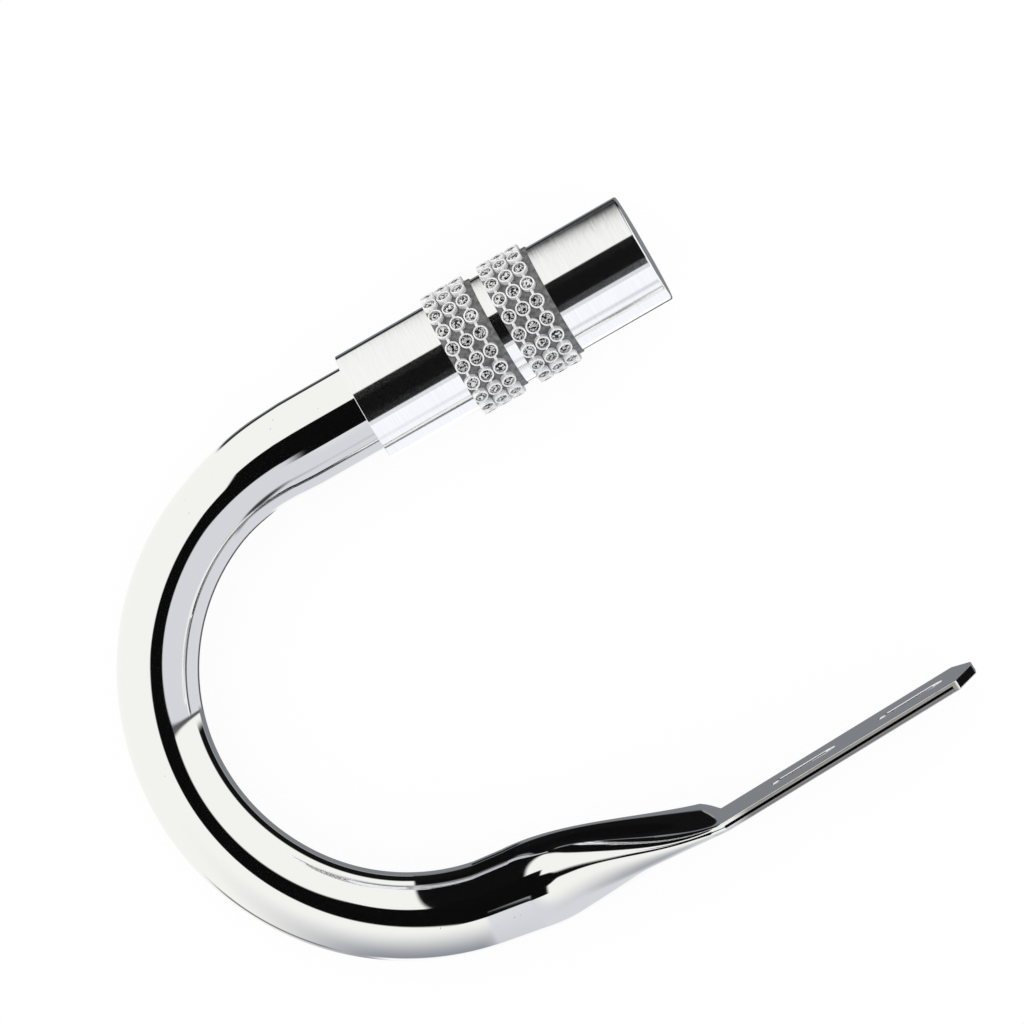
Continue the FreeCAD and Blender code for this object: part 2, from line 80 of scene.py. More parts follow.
# Points a run has while its width is found, as many as the CAD source gives it.
GIRTH_POINTS = 7
# Shares of the bend, from the press to the sleeve, at which the tube's oval comes and goes.
LEG_EASE = 0.27
OVAL_FROM = 0.62
MOUTH_EASE = 0.86
ROUND_FROM = 1.06
SHOULDER_SHARE = 0.81
SIDE_PRESS = 2.0
TOP_PRESS = 1.3
FRONT_RUN = 2
HUMP_POWER = 1.25
FLANK_HALF_ANGLE = math.radians(42)
# How the cut corners run into the plate's sides: radius, and the angle that is left there.
SHOULDER_ROUNDING = 0.0025
SHOULDER_LEAVE = math.radians(12)

# How a section's width is found: between which shares of the girth, and in how many halvings.
LEAST_WIDTH = 0.2
MOST_WIDTH = 0.6
WIDTH_TRIES = 30
# Points nearer than this are one.
SKIN_WELD = 1e-7
TURNED_WELD = 1e-8
# Points on the rounded edges, ends and corners of what is cut, and faces round what is turned.
RIM_STEPS = 5
SLOT_END_POINTS = 17
CORNER_POINTS = 9
SLEEVE_SEGMENTS = 128
STRIP_SEGMENTS = 160
CUP_SEGMENTS = 28
CUP_RIM_POINTS = 9
LINK_POINTS = 9
MOUTH_POINTS = 6
END_POINTS = 8
STRIP_EDGE_POINTS = 4
# Edges sharper than these stay sharp.
METAL_SHARP = math.radians(24)
STRIP_SHARP = math.radians(30)
CUP_SHARP = math.radians(35)
# Shares: the lip at the sleeve's mouth of its edge, and the strip's rounding of its thickness.
MOUTH_LIP = 0.3
STRIP_EDGE = 0.4
# A cup's foot, wider than its rim by this much and up to this share of its height.
CUP_FOOT = 1.02
CUP_FOOT_HEIGHT = 0.25
# A crystal's widest part as a share of its socket, and the levels under its table: radius and
# height as shares, the number of corners and how far they are turned, in corners.
CROWN_FIT = 0.985
CROWN_LEVELS = ((0.9, 0.02, 16, 0.0), (1.0, 0.42, 16, 0.0), (1.0, 0.5, 16, 0.0), (0.80, 0.80, 8, 0.5))
CROWN_TABLE = (0.56, 8)
# The silvering inside it: its rim, its ring of corners and its point, radius and height.
FOIL_FIT = 0.98
FOIL_RIM = 0.4
FOIL_RING = (0.45, 0.15)
FOIL_POINT = 0.03

BANDS = ("mouth_band", "end_band")


def length(name, default, description):
    """A length in metres, given in millimetres."""
    return bpy.props.FloatProperty(
        name=name, description=description, default=default * MILLIMETRE,
        unit="LENGTH", min=0.0, precision=5,
    )


def count(name, default, description):
    return bpy.props.IntProperty(name=name, description=description, default=default, min=1)


def colour(name, default, description):
    return bpy.props.FloatVectorProperty(
        name=name, description=description, default=default, size=3, min=0.0, max=1.0,
        subtype="COLOR",
    )


class TubeSizes(bpy.types.PropertyGroup):
    """The bent and pressed tube."""

    diameter: length("Tube", 22.4, "Outside diameter of the round tube")
    wall: length("Wall", 1.25, "Wall of the tube; the plate is two of them thick")
    oval: length("Oval", 19.8, "Tube across the bend at its tightest")
    leg: length("Leg", 21.2, "Tube across where the press begins")
    bend_radius: length("Bend radius", 59.5, "Radius of the bend to the middle of the tube")
    turn: bpy.props.FloatProperty(
        name="Turn", description="Angle that the bend turns through",
        default=math.radians(181.9), subtype="ANGLE",
    )
    setback: length("Setback", 1.9, "How far the bend stays in front of the wall")
    bend_offset: length("Bend offset", 83.6, "From the origin to the bend's centre, along X")
    straight: length("Straight", 22.6, "Straight tube between the bend and the sleeve")
    inserted: length("Inserted", 30.0, "Straight tube hidden in the sleeve")
    press: length("Press", 46.1, "Length of the pressed dome")
    nose: length("Nose", 3.4, "Length over which the dome drops to the plate")
    nose_height: length("Nose height", 7.6, "Height of the dome where it starts to drop")
    dome_height: length("Dome height", 16.9, "Height of the dome at the middle of the press")
    shoulder_height: length("Shoulder", 21.7, "Height of the dome just before its edge")
    anvil_lead: length("Lead", 18.2, "Length over which the back comes down to the wall")
    anvil_reach: length("Reach", 8.6, "How far inside the press the back meets the wall")
    side_press: length("Side press", 38.0, "Length over which the tube's sides are pressed down")
    plate_front: length("Plate front", 37.5, "From the origin to the dome's nose")
    plate_back: length("Plate back", 32.2, "From the origin to the plate's free end")
    tip_cut: length("Tip cut", 5.2, "Length of the cut corners at the free end")
    tip_flat: length("Tip flat", 7.0, "Width left square at the free end")
    tip_rounding: length("Tip rounding", 3.0, "Radius that eases the cut corners")
    slot_spacing: length("Slot spacing", 30.0, "Between the centres of the screw slots")
    slot_length: length("Slot length", 17.8, "Overall length of a screw slot")
    slot_width: length("Slot width", 5.5, "Width of a screw slot")
    rim: length("Rim", 0.3, "Rounding of the punched and cut edges")


class SleeveSizes(bpy.types.PropertyGroup):
    """The finial sleeve."""

    diameter: length("Diameter", 28.0, "Outside diameter of the sleeve")
    length: length("Length", 77.1, "Length of the sleeve")
    wall: length("Wall", 1.2, "Side wall of the sleeve")
    end: length("End", 1.5, "Thickness of the closed end")
    edge: length("Edge", 0.5, "Rounding at both ends of the sleeve")


class BandSizes(bpy.types.PropertyGroup):
    """The crystal bands."""

    rows: count("Rows", 3, "Rows of cups along a band")
    round: count("Round", 20, "Cups round the sleeve")
    width: length("Strip width", 12.7, "Width of a band's strip")
    strip: length("Strip", 0.4, "Thickness of a band's strip")
    first: length("First band", 24.4, "From the sleeve's mouth to the first band")
    gap: length("Gap", 2.7, "Bare sleeve between the bands")
    margin: length("Margin", 1.85, "From the strip's edge to the first row of cups")
    pitch: length("Pitch", 3.82, "Between neighbouring rows of cups")
    cup: length("Cup", 3.6, "Across a cup at its rim")
    cup_height: length("Cup height", 1.5, "Height of a cup above its strip")
    link: length("Link", 0.8, "Width of the links between cups")
    stone: length("Stone", 2.8, "Across a crystal at its girdle")
    stone_height: length("Stone height", 1.15, "Height of a crystal")


class Finishes(bpy.types.PropertyGroup):
    """Colours of the finishes and of the stage."""

    chrome: colour("Chrome", (0.93, 0.93, 0.93), "Polished plate on the tube")
    brushed: colour("Brushed", (0.99, 0.99, 1.0), "Brushed sleeve")
    bush: colour("Bush", (0.80, 0.80, 0.78), "Moulded bush")
    strip: colour("Strip", (0.18, 0.18, 0.185), "Backing strip of the bands")
    setting: colour("Setting", (0.99, 0.99, 1.0), "Moulded cups")
    crystal: colour("Crystal", (1.0, 1.0, 1.0), "Crystals")
    foil: colour("Foil", (0.90, 0.90, 0.92), "Silvering behind the crystals")
    studio: colour("Studio", (0.955, 0.955, 0.925), "Light panels that the chrome shows")
    background: colour("Background", (1.0, 1.0, 1.0), "Floor and background")


def sizes_of(group):
    return getattr(bpy.context.scene.holdback, group)


def ease(value):
    """Smooth step from 0 to 1."""
    value = min(max(value, 0.0), 1.0)
    return value * value * (3 - 2 * value)


def run_steps(points, closed=False):
    return np.linspace(0, 1, points, endpoint=closed)


def oval_section(height, width, steps):
    """Points (height, z) round an oval, in four runs: back, flank, front, flank."""
    turns = (-math.pi + FLANK_HALF_ANGLE, -FLANK_HALF_ANGLE, FLANK_HALF_ANGLE)
    turns = turns + (math.pi - FLANK_HALF_ANGLE, math.pi + FLANK_HALF_ANGLE)
    runs = []
    for start, stop in zip(turns, turns[1:]):
        angle = start + (stop - start) * steps
        runs.append(np.stack([height / 2 * (1 + np.sin(angle)), width / 2 * np.cos(angle)], -1))
    return runs


def flat_section(thickness, width, rise, steps):
    """The same four runs round a flattened tube with a dome on its front."""
    radius = thickness / 2
    reach = width / 2 - radius
    across = 2 * steps - 1
    hump = np.clip(1 - across * across, 0, 1) ** HUMP_POWER
    angle = math.pi * (steps - 0.5)
    back = np.stack([0 * steps, across * reach], -1)
    flank = np.stack([radius * (1 + np.sin(angle)), reach + radius * np.cos(angle)], -1)
    front = np.stack([thickness + rise * hump, -across * reach], -1)
    far = np.stack([radius * (1 - np.sin(angle)), -reach - radius * np.cos(angle)], -1)
    return [back, flank, front, far]


def mixed_section(first, second, side, top, steps):
    """Mix two sections, by one share at the back and sides and another on top."""
    across = 2 * steps[:, None] - 1
    mixed = []
    for number, (run_a, run_b) in enumerate(zip(first, second)):
        share = top + (side - top) * across * across if number == FRONT_RUN else side
        mixed.append(run_a + (run_b - run_a) * share)
    return mixed


def run_length(runs):
    return sum(np.linalg.norm(np.diff(run, axis=0), axis=1).sum() for run in runs)


def fitted(make, girth):
    """A section of the width at which it keeps the tube's girth, with fine runs."""
    coarse = run_steps(GIRTH_POINTS, True)
    low, high = LEAST_WIDTH * girth, MOST_WIDTH * girth
    for _ in range(WIDTH_TRIES):
        middle = (low + high) / 2
        if run_length(make(middle, coarse)) < girth:
            low = middle
        else:
            high = middle
    return np.concatenate(make((low + high) / 2, run_steps(RUN_POINTS)))


class TubePath:
    """Where the tube runs, worked out from its sizes as the CAD source does."""

    def __init__(self, tube):
        self.tube = tube
        self.centre = Vector(
            (tube.bend_offset, -tube.setback - tube.leg / 2 - tube.bend_radius, 0)
        )
        self.sleeve_way = Vector((math.cos(tube.turn), -math.sin(tube.turn), 0))
        outward = Vector((math.sin(tube.turn), math.cos(tube.turn), 0))
        self.mouth = self.centre + outward * tube.bend_radius + self.sleeve_way * tube.straight
        self.dome_from = tube.plate_front + tube.nose
        self.press_edge = self.dome_from + tube.press
        self.back_from = self.press_edge - tube.anvil_reach
        self.back_to = self.back_from + tube.anvil_lead
        self.plate = 2 * tube.wall
        coarse = run_steps(GIRTH_POINTS, True)
        self.girth = run_length(oval_section(tube.diameter, tube.diameter, coarse))

    def bend_thickness(self, along):
        """Thickness in the plane of the bend; along runs from the press to the sleeve."""
        tube = self.tube
        if along < MOUTH_EASE:
            mix = ease((along - LEG_EASE) / (OVAL_FROM - LEG_EASE))
            return tube.leg + (tube.oval - tube.leg) * mix
        mix = ease((along - MOUTH_EASE) / (ROUND_FROM - MOUTH_EASE))
        return tube.oval + (tube.diameter - tube.oval) * mix

    def back_line(self, x):
        """How far the tube's back is from the wall, along the pressed stretch."""
        if x <= self.back_from:
            return 0.0
        outer = self.tube.bend_radius + self.tube.leg / 2
        run = self.back_to - self.centre.x
        drop = math.sqrt(outer * outer - run * run)
        depth = -self.centre.y - drop
        along = (x - self.back_from) / self.tube.anvil_lead
        to_depth = along * along * (3 - 2 * along)
        to_slope = along * along * (along - 1)
        return depth * to_depth + run / drop * self.tube.anvil_lead * to_slope

    def front_line(self, x):
        """Height of the pressed dome above the wall."""
        tube = self.tube
        if x <= self.dome_from:
            rise = math.sqrt(max(x - tube.plate_front, 0.0) / tube.nose)
            return self.plate + (tube.nose_height - self.plate) * rise
        inner = tube.bend_radius - tube.leg / 2
        edge = -self.centre.y - math.sqrt(inner ** 2 - (self.press_edge - self.centre.x) ** 2)
        knots = (
            (self.dome_from, tube.nose_height),
            (self.dome_from + tube.press / 2, tube.dome_height),
            (self.dome_from + tube.press * SHOULDER_SHARE, tube.shoulder_height),
            (self.press_edge, edge),
        )
        height = 0.0
        for x_knot, h_knot in knots:
            weight = 1.0
            for x_other, _ in knots:
                if x_other != x_knot:
                    weight *= (x - x_other) / (x_knot - x_other)
            height += h_knot * weight
        return height

    def oval_ring(self, point, heights, thickness):
        section = fitted(lambda width, steps: oval_section(thickness, width, steps), self.girth)
        origin = np.array(point - heights * (thickness / 2))
        return origin + section[:, :1] * np.array(heights) + section[:, 1:] * np.array((0, 0, 1))

    def press_ring(self, x):
        back = self.back_line(x)
        height = self.front_line(x) - back
        front = self.tube.plate_front
        side = max(1 - (x - front) / self.tube.side_press, 0.0) ** SIDE_PRESS
        along = ease((x - front) / (self.press_edge - front))
        section = fitted(
            lambda width, steps: mixed_section(
                oval_section(height, width, steps),
                flat_section(self.plate, width, height - self.plate, steps),
                side, 1 - along ** TOP_PRESS, steps,
            ),
            self.girth,
        )
        flat = np.zeros((len(section), 3))
        flat[:, 0] = x
        flat[:, 1] = -back - section[:, 0]
        flat[:, 2] = section[:, 1]
        return flat

    def rings(self):
        """Rings of points from the hidden end in the sleeve to the free end of the plate."""
        tube = self.tube
        inward = Vector((self.sleeve_way.y, -self.sleeve_way.x, 0))
        rings = []
        total = tube.inserted + tube.straight
        for step in range(STRAIGHT_STATIONS):
            point = self.mouth + self.sleeve_way * (tube.inserted - total * step / STRAIGHT_STATIONS)
            rings.append(self.oval_ring(point, inward, tube.diameter))
        last = math.asin((self.back_to - self.centre.x) / tube.bend_radius)
        for step in range(BEND_STATIONS + 1):
            along = 1 - step / BEND_STATIONS
            angle = last + (tube.turn - last) * along
            outward = Vector((math.sin(angle), math.cos(angle), 0))
            point = self.centre + outward * tube.bend_radius
            rings.append(self.oval_ring(point, -outward, self.bend_thickness(along)))
        for step in range(PRESS_STATIONS, -1, -1):
            rings.append(self.press_ring(self.dome_from + tube.press * step / PRESS_STATIONS))
        for part in NOSE_SHARES:
            rings.append(self.press_ring(tube.plate_front + tube.nose * part))
        end = rings[-1].copy()
        end[:, 0] = -tube.plate_back - tube.rim
        rings.append(end)
        return rings


def new_object(name, mesh):
    item = bpy.data.objects.new(name, mesh)
    bpy.context.scene.collection.objects.link(item)
    return item


def mesh_of(name, points, faces):
    mesh = bpy.data.meshes.new(name)
    mesh.from_pydata([tuple(point) for point in points], [], faces)
    mesh.update()
    return mesh


def skin(name, rings):
    """A closed skin over rings that all have the same number of points."""
    around = len(rings[0])
    faces = []
    for row in range(len(rings) - 1):
        for step in range(around):
            after = (step + 1) % around
            faces.append((
                row * around + step, row * around + after,
                (row + 1) * around + after, (row + 1) * around + step,
            ))
    faces.append(tuple(reversed(range(around))))
    faces.append(tuple(range((len(rings) - 1) * around, len(rings) * around)))
    mesh = mesh_of(name, np.concatenate(rings), faces)
    tidy = bmesh.new()
    tidy.from_mesh(mesh)
    bmesh.ops.remove_doubles(tidy, verts=tidy.verts, dist=SKIN_WELD)
    bmesh.ops.recalc_face_normals(tidy, faces=tidy.faces)
    tidy.to_mesh(mesh)
    tidy.free()
    return mesh


def smooth(mesh, angle):
    """Shade smooth, but for edges sharper than the angle."""
    mesh.polygons.foreach_set("use_smooth", [True] * len(mesh.polygons))
    mesh.set_sharp_from_angle(angle=angle)
    mesh.update()


def applied(item):
    """Keep what an object's modifiers make as its own mesh."""
    bpy.context.view_layer.update()
    graph = bpy.context.evaluated_depsgraph_get()
    made = bpy.data.meshes.new_from_object(item.evaluated_get(graph))
    made.name = item.data.name
    item.modifiers.clear()
    item.data = made


def cut(item, cutter):
    """Take a cutter away from an object."""
    step = item.modifiers.new("cut", "BOOLEAN")
    step.operation = "DIFFERENCE"
    step.solver = "EXACT"
    step.object = cutter
    applied(item)
    bpy.data.objects.remove(cutter)


def weigh_normals(item):
    """Let the larger faces lead the shading."""
    step = item.modifiers.new("even", "WEIGHTED_NORMAL")
    step.mode = "FACE_AREA"
    step.keep_sharp = True
    step.weight = 100
    applied(item)


def rim_levels(thickness, rim):
    """Depths through the plate and how far a cut opens there, rounded at both faces."""
    levels = [(-3 * rim, 1.0)]
    for step in range(RIM_STEPS + 1):
        angle = math.pi / 2 * step / RIM_STEPS
        levels.append((rim * (1 - math.cos(angle)), 1 - math.sin(angle)))
    mirrored = [(thickness - depth, opening) for depth, opening in reversed(levels)]
    return [(depth, rim * opening) for depth, opening in levels + mirrored]


def slot_cutter(name, centre, tube, thickness):
    """What a screw slot takes away, with rounded edges at both faces."""
    reach = (tube.slot_length - tube.slot_width) / 2
    rings = []
    for depth, opening in rim_levels(thickness, tube.rim):
        radius = tube.slot_width / 2 + opening
        ring = []
        for side in (1, -1):
            for angle in np.linspace(-math.pi / 2, math.pi / 2, SLOT_END_POINTS):
                x = centre + side * (reach + radius * math.cos(angle))
                ring.append((x, -depth, side * radius * math.sin(angle)))
        rings.append(np.array(ring))
    return new_object(name, skin(name, rings))


def tip_outline(tube, half_width, opening):
    """The free end's outline, moved in by the opening: points (x, z) from -Z to +Z."""
    corner = (-tube.plate_back, tube.tip_flat / 2)
    inside = (-tube.plate_back + tube.tip_cut, half_width)
    along = Vector((inside[0] - corner[0], inside[1] - corner[1])).normalized()
    turn = math.atan2(along.x, along.y)
    tangent = tube.tip_rounding * math.tan(turn / 2)
    centre = (corner[0] + tube.tip_rounding, corner[1] - tangent)
    radius = tube.tip_rounding - opening
    upper = []
    for angle in np.linspace(math.pi, math.pi - turn, CORNER_POINTS):
        upper.append((centre[0] + radius * math.cos(angle), centre[1] + radius * math.sin(angle)))
    slope = math.pi / 2 - turn
    shoulder = SHOULDER_ROUNDING * math.tan(slope / 2)
    centre = (
        inside[0] - along.x * shoulder + along.y * SHOULDER_ROUNDING,
        inside[1] - along.y * shoulder - along.x * SHOULDER_ROUNDING,
    )
    radius = SHOULDER_ROUNDING - opening
    for angle in np.linspace(slope, SHOULDER_LEAVE, CORNER_POINTS):
        upper.append((centre[0] - radius * math.sin(angle), centre[1] + radius * math.cos(angle)))
    beyond = 2 * tube.tip_cut
    upper.append((
        upper[-1][0] + beyond * math.cos(SHOULDER_LEAVE),
        upper[-1][1] + beyond * math.sin(SHOULDER_LEAVE),
    ))
    lower = [(x, -z) for x, z in reversed(upper)]
    return lower + upper


def tip_cutter(name, tube, thickness, half_width):
    """What the cut corners take away at the free end."""
    rings = []
    for depth, opening in rim_levels(thickness, tube.rim):
        outline = tip_outline(tube, half_width, opening)
        far_x = -tube.plate_back - tube.tip_cut
        outline += [(far_x, outline[-1][1]), (far_x, outline[0][1])]
        rings.append(np.array([(x, -depth, z) for x, z in outline]))
    return new_object(name, skin(name, rings))


class Nodes:
    """Short ways to add nodes to a tree."""

    def __init__(self, tree):
        self.tree = tree
        tree.nodes.clear()

    def add(self, kind, inputs=(), **settings):
        node = self.tree.nodes.new(kind)
        for key, value in settings.items():
            setattr(node, key, value)
        for key, value in dict(inputs).items():
            if isinstance(value, bpy.types.NodeSocket):
                self.tree.links.new(value, node.inputs[key])
            else:
                node.inputs[key].default_value = value
        return node

    def maths(self, operation, *values):
        return self.add("ShaderNodeMath", enumerate(values), operation=operation).outputs[0]

    def vector(self, operation, *values, output=0):
        return self.add(
            "ShaderNodeVectorMath", enumerate(values), operation=operation
        ).outputs[output]

    def step(self, value, low, high):
        """Smooth step of a value from 0 at low to 1 at high."""
        node = self.add(
            "ShaderNodeMapRange", {0: value, 1: low, 2: high}, interpolation_type="SMOOTHSTEP"
        )
        return node.outputs[0]

    def mix(self, amount, first, second):
        node = self.add(
            "ShaderNodeMix", {0: amount, 6: first, 7: second}, data_type="RGBA"
        )
        return node.outputs[2]


def rgba(tone):
    if isinstance(tone, (int, float)):
        tone = (tone, tone, tone)
    return (*tone, 1.0)


def finish(name):
    """A new material and its cleared node tree."""
    material = bpy.data.materials.new(name)
    material.use_nodes = True
    return material, Nodes(material.node_tree)


def shade(nodes, tone, normal=None, **values):
    """A Principled shader wired to the output, its constants on its own sockets."""
    shader = nodes.add("ShaderNodeBsdfPrincipled")
    for key, value in values.items():
        socket = shader.inputs[key.replace("_", " ").title().replace("Ior", "IOR")]
        if isinstance(value, bpy.types.NodeSocket):
            nodes.tree.links.new(value, socket)
        else:
            socket.default_value = value
    if isinstance(tone, bpy.types.NodeSocket):
        nodes.tree.links.new(tone, shader.inputs["Base Color"])
    else:
        shader.inputs["Base Color"].default_value = rgba(tuple(tone))
    if normal is not None:
        nodes.tree.links.new(normal, shader.inputs["Normal"])
    nodes.add("ShaderNodeOutputMaterial", {"Surface": shader.outputs[0]})
    return shader


# Where shade is painted on the plate's folded edge, a darker chrome in place of the grey reflection
# there: up to this X and beyond this Z, how softly it begins along each, and its painted tone.
PLATE_PAINTED_SHADE_END = 0.036
PLATE_PAINTED_SHADE_SIDE = 0.0158
END_SOFTNESS = 0.006
SIDE_SOFTNESS = 0.0006
PAINTED_SHADE_CHROME = (0.33, 0.32, 0.31)
PINHOLE = 0.35
# The sleeve's brushing in two layers: how fine it is along the sleeve and across it.
BRUSHING = ((9000.0, 120.0), (3200.0, 60.0))
COARSE_SHARE = 0.6
BRUSHED_SHADE = 0.93
# The reflections painted on the crystals' facets, dark among light: their dark tone, how fast they
# change with the facing and with the place, and between which levels of chance dark turns to light.
PAINTED_DARK_REFLECTION = (0.012, 0.012, 0.014)
FACING_CHANGE = (4.0, 4.0, 4.0)
PLACE_CHANGE = (1500.0, 1500.0, 1500.0)
FACET_LEVELS = (0.47, 0.53)


def chrome_finish(tone):
    """Polished chrome with the odd pinhole, a trace of waviness and shade painted on the fold."""
    material, nodes = finish("polished_chrome")
    place = nodes.add("ShaderNodeTexCoord").outputs["Object"]
    waves = nodes.add("ShaderNodeTexNoise", {"Vector": place, "Scale": 160.0, "Detail": 2.0})
    pores = nodes.add("ShaderNodeTexVoronoi", {"Vector": place, "Scale": 330.0})
    hole = nodes.step(pores.outputs["Distance"], 0.07, 0.03)
    sparse = nodes.add("ShaderNodeTexNoise", {"Vector": place, "Scale": 90.0, "Detail": 0.0})
    pits = nodes.maths("MULTIPLY", hole, nodes.step(sparse.outputs[0], 0.55, 0.7))
    level = nodes.maths("SUBTRACT", nodes.maths("MULTIPLY", waves.outputs[0], 0.25), pits)
    bump = nodes.add(
        "ShaderNodeBump", {"Strength": 0.12, "Distance": 0.00004, "Height": level}
    )
    face = nodes.mix(pits, rgba(tuple(tone)), rgba(PINHOLE))
    parts = nodes.add("ShaderNodeSeparateXYZ", {"Vector": place}).outputs
    # Painted shade: the chrome on the fold's edge is darkened in place of a grey reflection.
    plate = nodes.step(parts[0], PLATE_PAINTED_SHADE_END, PLATE_PAINTED_SHADE_END - END_SOFTNESS)
    folded = nodes.step(parts[2], PLATE_PAINTED_SHADE_SIDE, PLATE_PAINTED_SHADE_SIDE + SIDE_SOFTNESS)
    painted_shade = nodes.maths("MULTIPLY", plate, folded)
    face = nodes.mix(painted_shade, face, rgba(PAINTED_SHADE_CHROME))
    shade(nodes, face, bump.outputs[0], metallic=1.0, roughness=0.035)
    return material


def brushed_finish(tone):
    """Steel brushed round the sleeve, in fine lines across its length."""
    material, nodes = finish("brushed_steel")
    place = nodes.add("ShaderNodeTexCoord").outputs["Object"]
    lines = []
    for along, across in BRUSHING:
        stretched = nodes.vector("MULTIPLY", place, (across, across, along))
        lines.append(nodes.add(
            "ShaderNodeTexNoise", {"Vector": stretched, "Scale": 1.0, "Detail": 2.0}
        ).outputs[0])
    level = nodes.maths("ADD", lines[0], nodes.maths("MULTIPLY", lines[1], COARSE_SHARE))
    bump = nodes.add(
        "ShaderNodeBump", {"Strength": 0.12, "Distance": 0.00002, "Height": level}
    )
    tangent = nodes.add("ShaderNodeTangent", direction_type="RADIAL", axis="Z")
    face = nodes.mix(
        nodes.step(lines[0], 0.25, 0.75),
        rgba(tuple(part * BRUSHED_SHADE for part in tone)), rgba(tuple(tone)),
    )
    shader = shade(
        nodes, face, bump.outputs[0], metallic=1.0, roughness=0.08,
        anisotropic=0.3, anisotropic_rotation=0.25,
    )
    nodes.tree.links.new(tangent.outputs[0], shader.inputs["Tangent"])
    return material


def plain_finish(name, tone, roughness, blotched=0.0):
    """A moulded or satin surface with a fine grain, and darker blotches where asked."""
    material, nodes = finish(name)
    place = nodes.add("ShaderNodeTexCoord").outputs["Object"]
    grain = nodes.add("ShaderNodeTexNoise", {"Vector": place, "Scale": 4000.0, "Detail": 2.0})
    bump = nodes.add(
        "ShaderNodeBump", {"Strength": 0.2, "Distance": 0.00002, "Height": grain.outputs[0]}
    )
    blotch = nodes.add("ShaderNodeTexNoise", {"Vector": place, "Scale": 900.0, "Detail": 3.0})
    face = nodes.mix(
        nodes.step(blotch.outputs[0], 0.35, 0.65),
        rgba(tuple(part * (1 - blotched) for part in tone)), rgba(tuple(tone)),
    )
    shade(nodes, face, bump.outputs[0], roughness=roughness)
    return material


def setting_finish(tone):
    """Silvered moulding, half bright and half white."""
    material, nodes = finish("silver_setting")
    shade(nodes, tone, metallic=0.5, roughness=0.35)
    return material


def painted_facet_reflections(nodes, tone):
    """Painted reflections: light or dark by the way a facet faces and where it lies."""
    place = nodes.add("ShaderNodeTexCoord").outputs
    facing = nodes.vector("MULTIPLY", place["Normal"], FACING_CHANGE)
    inner = nodes.vector("MULTIPLY", place["Object"], PLACE_CHANGE)
    spread = nodes.vector("ADD", facing, inner)
    chance = nodes.add("ShaderNodeTexNoise", {"Vector": spread, "Scale": 1.0, "Detail": 0.0})
    # Painted reflections: each facet gets a dark or light colour in place of what it would reflect.
    return nodes.mix(
        nodes.step(chance.outputs[0], *FACET_LEVELS), rgba(PAINTED_DARK_REFLECTION), rgba(tuple(tone))
    )


def crystal_finish(tone):
    """Cut glass whose facets have light or dark reflections painted on."""
    material, nodes = finish("clear_crystal")
    shade(
        nodes, painted_facet_reflections(nodes, tone), roughness=0.02, ior=1.55, transmission_weight=0.4,
        metallic=0.3,
    )
    return material


def foil_finish(tone):
    """The silvering behind a crystal, with light or dark reflections painted on its facets."""
    material, nodes = finish("silver_foil")
    shade(nodes, painted_facet_reflections(nodes, tone), metallic=0.8, roughness=0.1)
    return material


def dress(item, slot, node, *materials):
    """Make a mesh a finished piece that stands for a CAD node."""
    item.data.materials.clear()
    for material in materials:
        item.data.materials.append(material)
    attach(item, BODY)
    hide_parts(node)


def sleeve_place(path, along=0.0):
    """Matrix that lays Z along the sleeve's axis and X up, at a distance from its mouth."""
    z_axis = path.sleeve_way
    x_axis = Vector((0, 0, 1))
    y_axis = z_axis.cross(x_axis)
    place = Matrix((x_axis, y_axis, z_axis)).transposed().to_4x4()
    place.translation = path.mouth + z_axis * along
    return place


def turned(name, profile, segments):
    """A mesh turned about Z from a closed profile of (radius, z) points."""
    points, faces = [], []
    many = len(profile)
    for step in range(segments):
        angle = 2 * math.pi * step / segments
        for radius, z in profile:
            points.append((radius * math.cos(angle), radius * math.sin(angle), z))
    for step in range(segments):
        after = (step + 1) % segments
        for index in range(many):
            following = (index + 1) % many
            faces.append((
                step * many + index, after * many + index,
                after * many + following, step * many + following,
            ))
    mesh = mesh_of(name, points, faces)
    tidy = bmesh.new()
    tidy.from_mesh(mesh)
    bmesh.ops.remove_doubles(tidy, verts=tidy.verts, dist=TURNED_WELD)
    bmesh.ops.dissolve_degenerate(tidy, edges=tidy.edges, dist=TURNED_WELD)
    bmesh.ops.recalc_face_normals(tidy, faces=tidy.faces)
    tidy.to_mesh(mesh)
    tidy.free()
    return mesh


def arc(centre, radius, start, stop, points):
    """Points on an arc in a profile, angles in degrees."""
    angles = np.radians(np.linspace(start, stop, points))
    return [(centre[0] + radius * math.cos(a), centre[1] + radius * math.sin(a)) for a in angles]


def joined(name, meshes):
    """One mesh of many, each with its own matrix and material index."""
    whole = bmesh.new()
    for mesh, matrix, index in meshes:
        piece = mesh.copy()
        piece.transform(matrix)
        before = len(whole.faces)
        whole.from_mesh(piece)
        whole.faces.ensure_lookup_table()
        for face in whole.faces[before:]:
            face.material_index = index
        bpy.data.meshes.remove(piece)
    mesh = bpy.data.meshes.new(name)
    whole.to_mesh(mesh)
    whole.free()
    return mesh


def seats(band):
    """Places of the cups in one band, foot on the strip and rim outward."""
    strip_radius = sizes_of("sleeve").diameter / 2 + band.strip
    places = []
    for row in range(band.rows):
        along = band.margin + row * band.pitch
        for seat in range(band.round):
            angle = 2 * math.pi * (seat + 0.5) / band.round
            lay = Matrix.Translation((strip_radius, 0, along)) @ Matrix.Rotation(
                math.pi / 2, 4, "Y"
            )
            places.append(Matrix.Rotation(angle, 4, "Z") @ lay)
    return places


def cup_mesh(band):
    """A turned cup with a rounded rim and a socket for its crystal."""
    outer = band.cup / 2
    inner = band.stone / 2
    wall = outer - inner
    height = band.cup_height
    floor = height - band.stone_height
    foot = outer * CUP_FOOT
    profile = [(0, 0), (foot, 0), (foot, height * CUP_FOOT_HEIGHT)]
    profile += arc((outer - wall / 2, height - wall / 2), wall / 2, 0, 180, CUP_RIM_POINTS)
    profile += [(inner, floor), (0, floor)]
    return turned("cup", profile, CUP_SEGMENTS)


